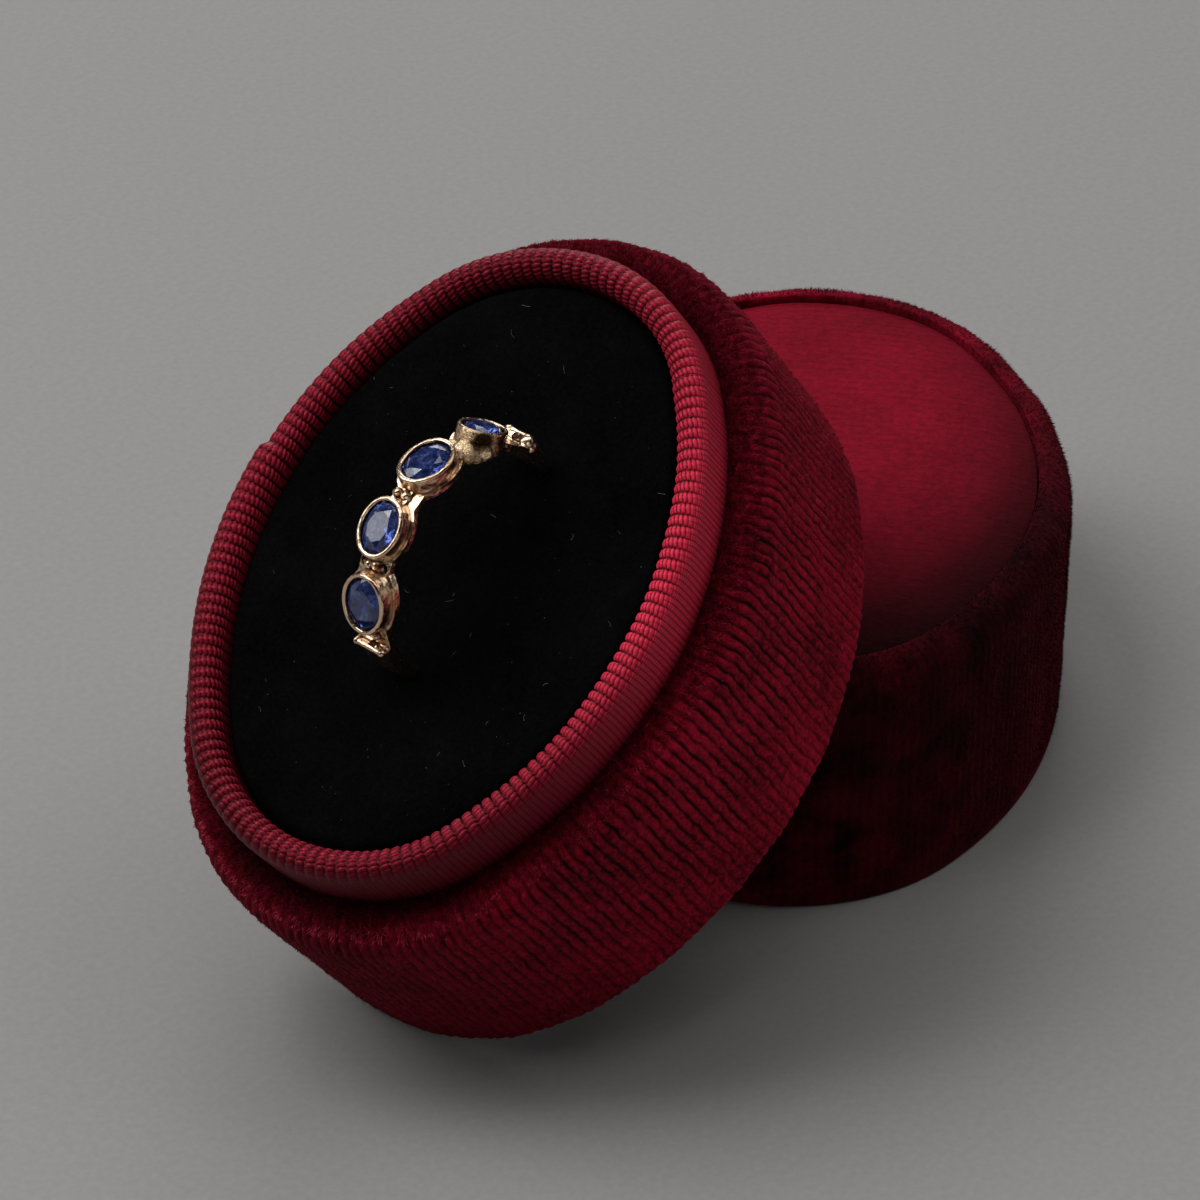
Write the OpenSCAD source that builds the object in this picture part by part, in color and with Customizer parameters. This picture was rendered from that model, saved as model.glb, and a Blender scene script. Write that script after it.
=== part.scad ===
// Pinky ring with four oval blue stones, held in the pad of its oval velvet ring box.
// The lid stands on its open rim, closed side up, and the base with the ring leans on it.
// All sizes are in millimetres. +Z is up and Z = 0 is the surface that both halves stand on.

/* [Ring] */
// Inside diameter of the finger hole
finger_d = 17.8; // [17.2:0.1:18.2]
// Distance from the finger's centre line to the tables of the stones
table_r = 10.65; // [10.5:0.05:11]
// Thickness of the pierced plate under the settings
plate_t = 0.5; // [0.4:0.05:0.6]
// Width of that plate in each of the three joints between the settings
waist_w = [2.9, 2.4, 2.4]; // [2.2:0.1:3]
// Width of the plate's edge that shows round the foot of each setting
foot_edge = 0.22; // [0.1:0.02:0.3]
// Width of the polished rim that is pressed over each stone
rim_w = 0.39; // [0.37:0.01:0.45]
// Height of the tables of the stones above the rims
table_lift = 0.15; // [0.1:0.05:0.2]

/* [Shank] */
// Width of the shank at its shoulders
shank_w = 3.2; // [3:0.1:3.4]
// Width of the shank at the back of the finger
back_w = 2.6; // [2:0.1:3]
// Distance from the finger's centre line to the shank's outside at the shoulders
shoulder_r = 10.4; // [10.3:0.05:10.5]
// Distance from the finger's centre line to the shank's outside at the back
back_r = 9.4; // [9.3:0.05:9.6]
// Radius of the two ridges across the end of each shoulder
ridge_r = 0.26; // [0.2:0.02:0.3]

/* [Box base] */
// Half length of the base's oval
base_a = 30; // [29:0.5:32]
// Half width of the base's oval
base_b = 22.4; // [22:0.1:24]
// Height of the velvet wall
base_h = 22.4; // [20:0.1:24]
// Thickness of the base's floor
base_floor = 2.4; // [2:0.1:3]
// Rounding of the velvet wall's rim
rim_round = 2.8; // [1:0.1:3]
// Rounding of the base's bottom edge
foot_round = 0.6; // [0.4:0.1:2]
// Depth of the bottom board inside the velvet wall's lower edge
board_in = 0.6; // [0:0.1:1]

/* [Collar and pad] */
// Half length of the ribbon collar's oval
collar_a = 26.3; // [26:0.1:26.4]
// Half width of the ribbon collar's oval
collar_b = 19.2; // [19:0.1:19.3]
// Height of the collar's fold above the base's bottom
collar_h = 27.5; // [26:0.1:28]
// Thickness of the collar with its ribbon
collar_t = 2.4; // [2.2:0.1:2.8]
// Depth of the pad's face below the collar's fold
pad_drop = 1.5; // [0.4:0.1:2]

/* [Box lid] */
// Half length of the lid's oval
lid_a = 31; // [31:0.1:32]
// Half width of the lid's oval
lid_b = 22.4; // [22.4:0.1:23]
// Height of the lid
lid_h = 22.3; // [21:0.1:23]
// Rounding of the lid wall's top edge
lid_round = 2.8; // [2:0.1:3]
// Thickness of the padded panel on the lid's top
panel_t = 1.6; // [1.4:0.1:1.8]
// Thickness of the board under that panel
board_t = 1.3; // [1:0.1:1.5]

/* [How it stands] */
// Angle that the base leans back from upright
base_lean = 37.9; // [37.9]
// Direction of that lean, turned round Z
base_turn = 6.2; // [6.2]
// Turn of the base's oval about its own axis
base_spin = 1.6; // [1.6]
// Turn of the lid's long axis round Z
lid_turn = 36.1; // [36.1]
// Turn of the ring in the pad, away from the pad's long axis
ring_turn = -7; // [-10:1:-4]
// Sideways lean of the ring in the pad
ring_lean = 3.2; // [0:0.1:4]
// Height of the finger's centre line above the pad's face
ring_rise = 1.6; // [0.5:0.1:2]

/* [Hidden] */
$fn = 96;

// Small gap between pieces that sit in each other
gap = 0.1;

// Where the two halves stand, and where the ring sits in the base
base_at = [-11.56, -2.82, 18.18];
lid_at = [20.06, 0.88, 0];
ring_at = [0.4, -1.4];

finger_r = finger_d / 2;

// Columns of the table of settings: angle round the ring, length and width of the stone
// that shows in the rim, turn of the oval, shift along the finger, and tilt round the finger
ANGLE = 0;
LENGTH = 1;
WIDTH = 2;
TURN = 3;
SHIFT = 4;
TILT = 5;
settings = [
    [-47.8, 4.4, 3.4, -10, -0.2, 0],
    [-14.1, 4.0, 3.1, 3, 0.1, 0],
    [19.6, 4.0, 3.05, -8, 0.1, 0],
    [53, 3.5, 2.8, 0, 0, 7],
];
last = len(settings) - 1;

// Heights in a setting, measured outwards from the finger's centre line
rim_z = table_r - table_lift;
rim_roll = 0.18;
crown_h = 0.55;
girdle_t = 0.08;
pavilion_h = 0.95;
girdle_z = table_r - crown_h;
lip_z = girdle_z + 0.17;
seat_z = girdle_z - girdle_t - 0.24;
foot_z = finger_r - 0.2;

// Widths in a setting, measured inwards from its outside
lip_w = rim_w - 0.03;
pocket_w = rim_w - 0.17;
seat_w = rim_w + 0.13;
wall_w = rim_w + 0.35;

// How far the stone's girdle reaches past what shows of it
girdle_over = 0.1;

// Facets of a stone, as fractions of its outline
table_f = 0.58;
star_f = 0.78;
lower_f = 0.25;

// Columns of the table of grains and drops of solder: the joint that they lie in, angle past
// its middle, side along the finger, height above the finger's centre line, and radius
JOINT = 0;
PAST = 1;
SIDE = 2;
HEIGHT = 3;
RADIUS = 4;
grains = [
    [1, -0.3, 0.4, 9.58, 0.4],
    [1, 0.4, -0.2, 9.45, 0.46],
    [2, -0.2, 0.72, 9.65, 0.42],
    [2, 0.2, 0.05, 9.45, 0.5],
    [3, -0.4, 0.3, 9.45, 0.7],
    [3, -0.4, -0.5, 9.4, 0.85],
    [3, 3, -0.5, 9.85, 0.55],
    [3, 1.6, -1, 9.35, 0.85],
    [3, 4.4, -1.2, 9.2, 0.85],
    [3, 7.4, -1.3, 9.15, 0.8],
    [3, 10.4, -1.35, 9.1, 0.75],
    [3, 13, -1.4, 9.1, 0.6],
];

// Columns of the table of shoulders: side of the ring, angle at which the shank ends there, the
// heights of the inner ridge, the outer ridge, and the hollow between them, and how full they are
END = 0;
FACE = 1;
INNER = 2;
OUTER = 3;
HOLLOW = 4;
FULL = 5;
shoulders = [
    [-1, 72.5, 9.5, 10.15, 9.85, 1],
    [1, 79, 9.3, 9.8, 9.75, 2.2],
];
hollow_r = 0.4;

// Angle past the first and the last stone where the shank starts, and its height up to the face
shank_from = 10;
trough_r = 9.45;

// The shank's outside is a barrel that sits a little high on the finger hole
shoulder_cos = cos(62);
barrel_up = (shoulder_r - back_r) / (1 + shoulder_cos);
barrel_r = back_r + barrel_up;
barrel_dome = 3.5;

// Level of the pad's face above the base's bottom
pad_z = collar_h - pad_drop;

// An oval of four arcs, half length a and half width b. The arcs meet on lines with a slope of
// 4 in 3, so the centres lie 3 units along the length and 4 across the width from the middle
function unit(a, b) = (a - b) / 2;
function end_r(a, b) = b - unit(a, b);
function side_r(a, b) = end_r(a, b) + 5 * unit(a, b);

module oval(a, b) {
    end_x = 3 * unit(a, b);
    side_y = 4 * unit(a, b);
    for (side = [-1, 1])
        translate([side * end_x, 0]) circle(end_r(a, b));
    intersection() {
        translate([0, -side_y]) circle(side_r(a, b));
        translate([0, side_y]) circle(side_r(a, b));
        square([2 * end_x + 1.2 * end_r(a, b), 2 * b], center = true);
    }
}

// Sweeps the children's outline round an oval. In the outline x = 0 is the oval's edge,
// x below 0 is inside it, and y is the height, from 0 to less than tall
module sweep_oval(a, b, tall) {
    end_x = 3 * unit(a, b);
    side_y = 4 * unit(a, b);
    reach = a + side_y;
    for (half = [0, 180])
        rotate(half) {
            intersection() {
                translate([end_x, 0, 0]) rotate_extrude() translate([end_r(a, b), 0]) children();
                translate([end_x, 0, -1]) linear_extrude(tall + 2)
                    polygon([[0, 0], [3 * reach, -4 * reach], [3 * reach, 4 * reach]]);
            }
            intersection() {
                translate([0, -side_y, 0]) rotate_extrude() translate([side_r(a, b), 0]) children();
                translate([0, -side_y, -1]) linear_extrude(tall + 2)
                    polygon([[0, 0], [3 * reach, 4 * reach], [-3 * reach, 4 * reach]]);
            }
        }
}

// Outline of a wall w thick and h high, with its outside rounded at the top and the bottom
module wall_outline(w, h, top, bottom) {
    translate([-w, bottom]) square([w, h - top - bottom]);
    translate([-w, 0]) square([w - bottom, h - top]);
    translate([-w, bottom]) square([w - top, h - bottom]);
    translate([-bottom, bottom]) circle(bottom);
    translate([-top, h - top]) circle(top);
}

// Places children on the band: x runs round it, y along the finger, z outwards
module on_band(angle, side = 0, turn = 0)
    rotate([0, angle, 0]) translate([0, side, 0]) rotate([0, 0, turn]) children();

module at_setting(row)
    on_band(row[ANGLE], row[SHIFT], row[TURN]) translate([0, 0, table_r]) rotate([0, row[TILT], 0])
        translate([0, 0, -table_r]) children();

// A disc round the finger's centre line
module disc(radius, width)
    rotate([90, 0, 0]) cylinder(h = width, r = radius, center = true);

// Angle of the joint before setting i
function joint_at(i) = (settings[i - 1][ANGLE] + settings[i][ANGLE]) / 2;

function half_l(row) = row[LENGTH] / 2 + rim_w;
function half_w(row) = row[WIDTH] / 2 + rim_w;

// Section of a setting's wall with its rolled rim. The stone's seat is cut into it later
module setting_outline() {
    tall = rim_z - foot_z;
    translate([-wall_w, 0]) square([wall_w, tall - rim_roll]);
    translate([-rim_w + rim_roll, 0]) square([rim_w - 2 * rim_roll, tall]);
    for (x = [-rim_roll, rim_roll - rim_w])
        translate([x, tall - rim_roll]) circle(rim_roll);
}

module setting(row)
    at_setting(row) translate([0, 0, foot_z])
        sweep_oval(half_l(row), half_w(row), rim_z - foot_z) setting_outline();

// What the inside of a setting is cut with: the hole under the stone, the pocket for its
// girdle, and the opening in the rim
module setting_bore(row) {
    at_setting(row) translate([0, 0, finger_r - 1])
        linear_extrude(seat_z - finger_r + 1.05) oval(half_l(row) - seat_w, half_w(row) - seat_w);
    at_setting(row) translate([0, 0, seat_z])
        linear_extrude(lip_z - seat_z) oval(half_l(row) - pocket_w, half_w(row) - pocket_w);
    at_setting(row) translate([0, 0, lip_z - 0.05])
        linear_extrude(2) oval(half_l(row) - lip_w, half_w(row) - lip_w);
}

// The pierced plate: scalloped round the settings and narrow between them
module plate() {
    intersection() {
        difference() {
            disc(finger_r + plate_t, 8);
            disc(finger_r, 9);
        }
        union() {
            for (i = [1 : last]) intersection() {
                disc(finger_r + 2, waist_w[i - 1]);
                sector(joint_at(i) - 8, joint_at(i) + 8);
            }
            for (row = settings) {
                at_setting(row) translate([0, 0, finger_r - 1])
                    linear_extrude(3) oval(half_l(row) + foot_edge, half_w(row) + foot_edge);
            }
        }
    }
}

// A strut in the middle of a joint between two settings
module strut(angle) {
    size = [1, 0.9, 0.7];
    on_band(angle, 0.1) translate([-size[0] / 2, -size[1] / 2, finger_r + 0.05]) cube(size);
}

module grain(row)
    on_band(joint_at(row[JOINT]) + row[PAST], row[SIDE]) translate([0, 0, row[HEIGHT]])
        sphere(row[RADIUS], $fn = 24);

// The holes beside the first strut, which leave a thin rail at both edges of the plate
module piercing() {
    hole_r = 0.42;
    for (side = [-0.82, 0.98])
        on_band(joint_at(1), side) translate([0, 0, finger_r - 1]) cylinder(h = 2, r = hole_r);
}

// The ring's side view between two angles
module sector(from, to) {
    far = 2 * shoulder_r;
    rotate([90, 0, 0]) linear_extrude(9, center = true)
        polygon([[0, 0], [far * sin(from), far * cos(from)], [far * sin(from), 2 * far],
                 [far * sin(to), 2 * far], [far * sin(to), far * cos(to)]]);
}

// Outline of the shank from above, narrower at the back of the finger
module shank_outline() {
    far = 2 * shoulder_r;
    polygon([[-back_w / 2, -far], [back_w / 2, -far], [shank_w / 2, finger_r / 2], [shank_w / 2, far],
             [-shank_w / 2, far], [-shank_w / 2, finger_r / 2]]);
}

// The shank: a domed barrel, thinner at the back of the finger
module shank() {
    difference() {
        intersection() {
            translate([0, 0, barrel_up]) rotate([90, 0, 0]) rotate_extrude() intersection() {
                translate([barrel_r - barrel_dome, 0]) circle(barrel_dome);
                translate([0, -shank_w / 2]) square([barrel_r + 1, shank_w]);
            }
            rotate([90, 0, 90]) linear_extrude(4 * shoulder_r, center = true) shank_outline();
        }
        disc(finger_r, 9);
        sector(settings[0][ANGLE] - shank_from, settings[last][ANGLE] + shank_from);
        difference() {
            sector(-shoulders[0][FACE], shoulders[1][FACE]);
            disc(trough_r, 10);
        }
    }
}

// The end of each shoulder: two ridges with a round tip
module ridges() {
    for (row = shoulders) {
        round_r = ridge_r * row[FULL];
        half = shank_w / 2 - round_r - 0.1;
        for (r = [row[INNER], row[OUTER]])
            on_band(row[END] * row[FACE]) translate([0, 0, r]) {
                rotate([90, 0, 0]) cylinder(h = 2 * half, r = round_r, center = true);
                for (side = [-half, half])
                    translate([0, side, 0]) sphere(round_r + 0.06, $fn = 24);
            }
    }
    // the swollen corner of the fuller shoulder
    on_band(81, -1.15) translate([0, 0, 9.55]) sphere(0.65, $fn = 24);
    // a drop of solder beside the first setting
    on_band(-67, -0.5) translate([0, 0, 9.6]) sphere(0.3, $fn = 24);
}

// The long hollow in the end of a shoulder
module shoulder_hollow(row) {
    // a fuller end bulges forwards, and its hollow lies in that bulge
    bulge = ridge_r * (row[FULL] - 1);
    on_band(row[END] * row[FACE]) translate([-row[END] * bulge, 0, row[HOLLOW]])
        for (side = [-0.5, -0.1])
            translate([0, side, 0]) sphere(hollow_r, $fn = 24);
}

module ring_mount() {
    color([0.80, 0.61, 0.42])
    stand_ring()
    difference() {
        union() {
            plate();
            shank();
            ridges();
            for (row = settings) setting(row);
            for (i = [1 : last]) strut(joint_at(i));
            for (row = grains) grain(row);
        }
        for (row = settings) setting_bore(row);
        piercing();
        for (row = shoulders) shoulder_hollow(row);
        disc(finger_r, 9);
        // the hollow in the side of the last setting, deeper in the solder at its foot
        on_band(settings[last][ANGLE] - 9.5, -1.75) {
            translate([0, 0, 10.1]) sphere(0.5);
            translate([0, 0, 9.6]) sphere(0.65);
        }
    }
}

// A faceted oval stone: table, crown kites and stars, girdle, and pavilion
module stone(row) {
    a = row[LENGTH] / 2 + girdle_over;
    b = row[WIDTH] / 2 + girdle_over;
    n = 8;
    step = 360 / n;
    star_z = crown_h * (1 - (star_f * cos(step / 2) - table_f) / (1 - table_f));
    lower_z = -pavilion_h * (1 - lower_f * cos(step / 2));
    function ring(f, z, count, off) =
        [for (i = [0 : count - 1]) [a * f * cos(360 * i / count + off), b * f * sin(360 * i / count + off), z]];
    points = concat(
        ring(table_f, crown_h, n, 0),
        ring(star_f, star_z, n, step / 2),
        ring(1, 0, 2 * n, 0),
        ring(1, -girdle_t, 2 * n, 0),
        ring(lower_f, lower_z - girdle_t, n, step / 2),
        [[0, 0, -pavilion_h - girdle_t]]);
    // first point of each ring
    st = n;
    g1 = 2 * n;
    g2 = 4 * n;
    lo = 6 * n;
    culet = 7 * n;
    faces = concat(
        [[for (i = [n - 1 : -1 : 0]) i]],
        [for (i = [0 : n - 1]) [i, (i + 1) % n, st + i]],
        [for (i = [0 : n - 1]) [i, st + i, g1 + 2 * i, st + (i + n - 1) % n]],
        [for (i = [0 : n - 1]) [st + i, g1 + 2 * i + 1, g1 + 2 * i]],
        [for (i = [0 : n - 1]) [st + i, g1 + (2 * i + 2) % (2 * n), g1 + 2 * i + 1]],
        [for (i = [0 : 2 * n - 1]) [g1 + i, g1 + (i + 1) % (2 * n), g2 + (i + 1) % (2 * n), g2 + i]],
        [for (i = [0 : n - 1]) [g2 + 2 * i, g2 + 2 * i + 1, lo + i]],
        [for (i = [0 : n - 1]) [g2 + 2 * i + 1, g2 + (2 * i + 2) % (2 * n), lo + i]],
        [for (i = [0 : n - 1]) [g2 + 2 * i, lo + i, culet, lo + (i + n - 1) % n]]);
    color([0.16, 0.25, 0.60])
    stand_ring() at_setting(row) translate([0, 0, girdle_z]) polyhedron(points, faces);
}

module stone_1() stone(settings[0]);
module stone_2() stone(settings[1]);
module stone_3() stone(settings[2]);
module stone_4() stone(settings[3]);

// The velvet base: an oval cup with a rounded rim
module box_base() {
    wall = 6;
    foot_w = 1.6;
    color([0.42, 0.02, 0.08])
    stand_base()
    difference() {
        union() {
            sweep_oval(base_a, base_b, base_h) wall_outline(wall, base_h, rim_round, foot_round);
            linear_extrude(base_floor + 1) oval(base_a - wall + 1, base_b - wall + 1);
        }
        translate([0, 0, base_floor])
            linear_extrude(base_h) oval(collar_a + gap, collar_b + gap);
        translate([0, 0, -1])
            linear_extrude(1 + board_in) oval(base_a - foot_w, base_b - foot_w);
    }
}

// The collar that the lid slides over, covered in ribbon that folds over its edge
module ribbon_collar() {
    low = base_floor + gap;
    color([0.52, 0.05, 0.13])
    stand_base() translate([0, 0, low])
        sweep_oval(collar_a, collar_b, collar_h) {
            translate([-collar_t, 0]) square([collar_t, collar_h - low - collar_t / 2]);
            translate([-collar_t / 2, collar_h - low - collar_t / 2]) circle(collar_t / 2);
        }
}

// The pad, with a pocket for the lower half of the ring
module ring_pad() {
    low = base_floor + gap;
    in = collar_t + gap;
    color([0.03, 0.03, 0.04])
    difference() {
        stand_base() translate([0, 0, low])
            linear_extrude(pad_z - low) oval(collar_a - in, collar_b - in);
        stand_ring() difference() {
            disc(shoulder_r + 0.15, shank_w + 2 * gap);
            disc(finger_r - gap, shank_w + 1);
        }
    }
}

// The lid's wall, with the board that closes it
module lid_wall() {
    wall = 6;
    slide = 0.4;
    panel_z = lid_h - panel_t;
    color([0.42, 0.02, 0.08])
    stand_lid()
    difference() {
        union() {
            sweep_oval(lid_a, lid_b, lid_h) wall_outline(wall, lid_h, lid_round, 0.3);
            translate([0, 0, panel_z - board_t - 1])
                linear_extrude(board_t + 1.5) oval(lid_a - wall + 1, lid_b - wall + 1);
        }
        translate([0, 0, -1])
            linear_extrude(panel_z - board_t + 1) oval(collar_a + slide, collar_b + slide);
        translate([0, 0, panel_z])
            linear_extrude(panel_t + 1) oval(lid_a - lid_round + gap, lid_b - lid_round + gap);
    }
}

// The padded velvet panel set into the lid's top
module lid_panel() {
    edge = 0.75;
    wall = 4;
    low = lid_h - panel_t + gap / 2;
    tall = lid_h - low;
    a = lid_a - lid_round;
    b = lid_b - lid_round;
    color([0.50, 0.03, 0.10])
    stand_lid() translate([0, 0, low]) {
        sweep_oval(a, b, tall) wall_outline(wall, tall, edge, 0.1);
        linear_extrude(tall) oval(a - wall + 1, b - wall + 1);
    }
}

module stand_base()
    translate(base_at) rotate([0, 0, base_turn]) rotate([0, -base_lean, 0])
        rotate([0, 0, base_spin]) children();

module stand_ring()
    stand_base() translate([ring_at[0], ring_at[1], pad_z + ring_rise])
        rotate([0, 0, ring_turn]) rotate([-ring_lean, 0, 0]) children();

module stand_lid()
    translate(lid_at) rotate([0, 0, lid_turn]) children();

ring_mount();
stone_1();
stone_2();
stone_3();
stone_4();
box_base();
ribbon_collar();
ring_pad();
lid_wall();
lid_panel();
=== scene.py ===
import math

import bpy
import numpy as np
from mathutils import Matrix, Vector


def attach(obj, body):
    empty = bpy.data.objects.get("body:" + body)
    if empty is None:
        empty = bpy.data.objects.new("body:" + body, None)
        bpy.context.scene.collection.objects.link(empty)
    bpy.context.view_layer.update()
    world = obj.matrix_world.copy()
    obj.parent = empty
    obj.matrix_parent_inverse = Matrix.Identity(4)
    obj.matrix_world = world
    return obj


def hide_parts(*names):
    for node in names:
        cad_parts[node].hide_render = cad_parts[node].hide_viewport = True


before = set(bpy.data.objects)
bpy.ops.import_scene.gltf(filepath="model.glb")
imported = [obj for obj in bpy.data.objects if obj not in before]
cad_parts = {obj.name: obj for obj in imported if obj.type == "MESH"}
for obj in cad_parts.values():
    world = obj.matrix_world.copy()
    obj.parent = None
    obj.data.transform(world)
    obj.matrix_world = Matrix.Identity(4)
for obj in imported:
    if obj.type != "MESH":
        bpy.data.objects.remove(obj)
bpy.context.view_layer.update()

MM = 0.001
rng = np.random.default_rng(11)

# Placement, as in the part's source: lengths in millimetres, angles in degrees


def turn(axis, degrees):
    t = math.radians(degrees)
    c, s = math.cos(t), math.sin(t)
    rows = {
        "X": [[1, 0, 0], [0, c, -s], [0, s, c]],
        "Y": [[c, 0, s], [0, 1, 0], [-s, 0, c]],
        "Z": [[c, -s, 0], [s, c, 0], [0, 0, 1]],
    }[axis]
    m = np.eye(4)
    m[:3, :3] = rows
    return m


def shift(x, y, z):
    m = np.eye(4)
    m[:3, 3] = (x, y, z)
    return m


def to_frame(points, where):
    """Points of a part's own space, in millimetres, in the frame's metres."""
    return (points @ where[:3, :3].T + where[:3, 3]) * MM


# Middle of the base's bottom, how far the base leans back, its turn on the ground and its own roll
BASE_AT, BASE_LEAN, BASE_TURN, BASE_ROLL = (-11.56, -2.82, 18.18), 37.9, 6.2, 1.6
BASE = shift(*BASE_AT) @ turn("Z", BASE_TURN) @ turn("Y", -BASE_LEAN) @ turn("Z", BASE_ROLL)

LID_AT, LID_TURN = (20.06, 0.88, 0), 36.1
LID = shift(*LID_AT) @ turn("Z", LID_TURN)

# The ring's centre above the base's bottom, its turn in the pad and how far it tips sideways
RING_AT, RING_TURN, RING_TIP = (0.4, -1.4, 27.6), 7, 3.2
RING = BASE @ shift(*RING_AT) @ turn("Z", -RING_TURN) @ turn("X", -RING_TIP)


def on_ring(angle, across, radius):
    """A place on the ring, in the frame's metres."""
    return to_frame(np.array([[0, across, radius]]), RING @ turn("Y", angle))[0]


# The solder beside the last setting, and a hollow in it, where painted shade darkens the gold
SOLDER = on_ring(42.5, -0.9, 9.6)
HOLLOW = on_ring(43.5, -1.7, 10.15)

# Sizes: half length and half width of the ovals, heights, roundings and walls, in millimetres

BASE_OVAL, BASE_H, BASE_ROUND, BASE_FOOT = (30.0, 22.4), 22.4, 2.8, 0.6
BOARD_OVAL, BOARD_Z = (28.5, 20.9), 0.7
COLLAR_OVAL, COLLAR_H, COLLAR_T = (26.3, 19.2), 27.5, 2.4
PAD_OVAL, PAD_Z = (23.8, 16.7), 26.0
LID_OVAL, LID_H, LID_ROUND = (31.0, 22.4), 22.3, 2.8
PANEL_OVAL = (28.2, 19.6)
# The lid's hollow, which the collar slides into with this much room
SLIDE = 0.4
HOLLOW_OVAL, CEILING_Z = (COLLAR_OVAL[0] + SLIDE, COLLAR_OVAL[1] + SLIDE), 19.4

# Ribs round each oval, the ribbon's two threads, and where the ribbon's fold ends along its outline
BASE_RIBS, RIBBON_RIBS, LID_RIBS = 190, 158, 196
THREAD, FINE_THREAD, FOLD_END = 0.38, 0.22, 5.2
# Lengths round an oval start about this angle, in radians, before its far end
BEFORE_END = 0.63

# Shape helpers


def oval(a, b, count):
    """Points, outward normals and arc lengths at equal steps round an oval of four arcs, and its girth.

    The arcs are centred on the corners of triangles with sides of 3, 4 and 5, so that they meet smoothly.
    """
    m = (a - b) / 2
    k = math.atan2(4, 3)
    arcs = [
        ((3 * m, 0), b - m, -k, k),
        ((0, -4 * m), b + 4 * m, k, math.pi - k),
        ((-3 * m, 0), b - m, math.pi - k, math.pi + k),
        ((0, 4 * m), b + 4 * m, math.pi + k, 2 * math.pi - k),
    ]
    ends = np.cumsum([r * (t1 - t0) for _, r, t0, t1 in arcs])
    s = np.arange(count) * ends[-1] / count
    which = np.minimum(np.searchsorted(ends, s, side="right"), 3)
    centre = np.array([c for c, _, _, _ in arcs])[which]
    radius = np.array([r for _, r, _, _ in arcs])[which]
    first = np.array([t for _, _, t, _ in arcs])[which]
    begin = np.concatenate([[0], ends[:-1]])[which]
    t = first + (s - begin) / radius
    n = np.stack([np.cos(t), np.sin(t)], -1)
    return centre + radius[:, None] * n, n, s, ends[-1]


def girth_of(size):
    return oval(*size, 8)[3]


def way_round(s, girth):
    """The angle round an oval, in radians from its far end."""
    return 2 * math.pi * s / girth - BEFORE_END


def line(p, q, step):
    count = max(2, int(round(math.dist(p, q) / step)) + 1)
    return np.linspace(p, q, count)


def arc(centre, radius, t0, t1, step):
    count = max(3, int(round(abs(math.radians(t1 - t0)) * radius / step)) + 1)
    t = np.radians(np.linspace(t0, t1, count))
    return np.stack([centre[0] + radius * np.cos(t), centre[1] + radius * np.sin(t)], -1)


def path(*parts):
    """Joins lines and arcs into one outline of (outward, height) points, with its lengths and normals."""
    points = [parts[0][0]]
    for part in parts:
        for p in part:
            if math.dist(p, points[-1]) > 1e-6:
                points.append(p)
    points = np.array(points)
    along = np.concatenate([[0], np.cumsum(np.linalg.norm(np.diff(points, axis=0), axis=1))])
    tangent = np.gradient(points, axis=0)
    tangent /= np.linalg.norm(tangent, axis=1)[:, None]
    return points, along, np.stack([-tangent[:, 1], tangent[:, 0]], -1)


def waves(x, y, seed, size, count=9):
    """Smooth noise between about -1 and 1, from plane waves about size long."""
    r = np.random.default_rng(seed)
    total = np.zeros(np.broadcast(x, y).shape)
    for _ in range(count):
        angle, phase = r.uniform(0, math.pi), r.uniform(0, 2 * math.pi)
        k = 2 * math.pi / (size * r.uniform(0.7, 1.5))
        total += np.sin(k * (x * math.cos(angle) + y * math.sin(angle)) + phase)
    return total / math.sqrt(count) / 1.5


def flat(s, u):
    return 0 * u


def level(z):
    """A height map for a disc that lies at one height."""
    return lambda x, y, share: z + 0 * x


def build(name, points, faces, uv, material, smooth=True):
    """A mesh object from arrays. uv has one row for each point."""
    mesh = bpy.data.meshes.new(name)
    size = faces.shape[1]
    mesh.vertices.add(len(points))
    mesh.vertices.foreach_set("co", np.ascontiguousarray(points, np.float32).ravel())
    mesh.loops.add(faces.size)
    mesh.loops.foreach_set("vertex_index", faces.ravel().astype(np.int32))
    mesh.polygons.add(len(faces))
    mesh.polygons.foreach_set("loop_start", np.arange(0, faces.size, size, dtype=np.int32))
    mesh.polygons.foreach_set("use_smooth", np.full(len(faces), smooth))
    layer = mesh.uv_layers.new(name="mm")
    layer.data.foreach_set("uv", np.ascontiguousarray(uv[faces.ravel()], np.float32).ravel())
    mesh.update(calc_edges=True)
    mesh.validate()
    mesh.materials.append(material)
    thing = bpy.data.objects.new(name, mesh)
    bpy.context.collection.objects.link(thing)
    return thing


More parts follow.
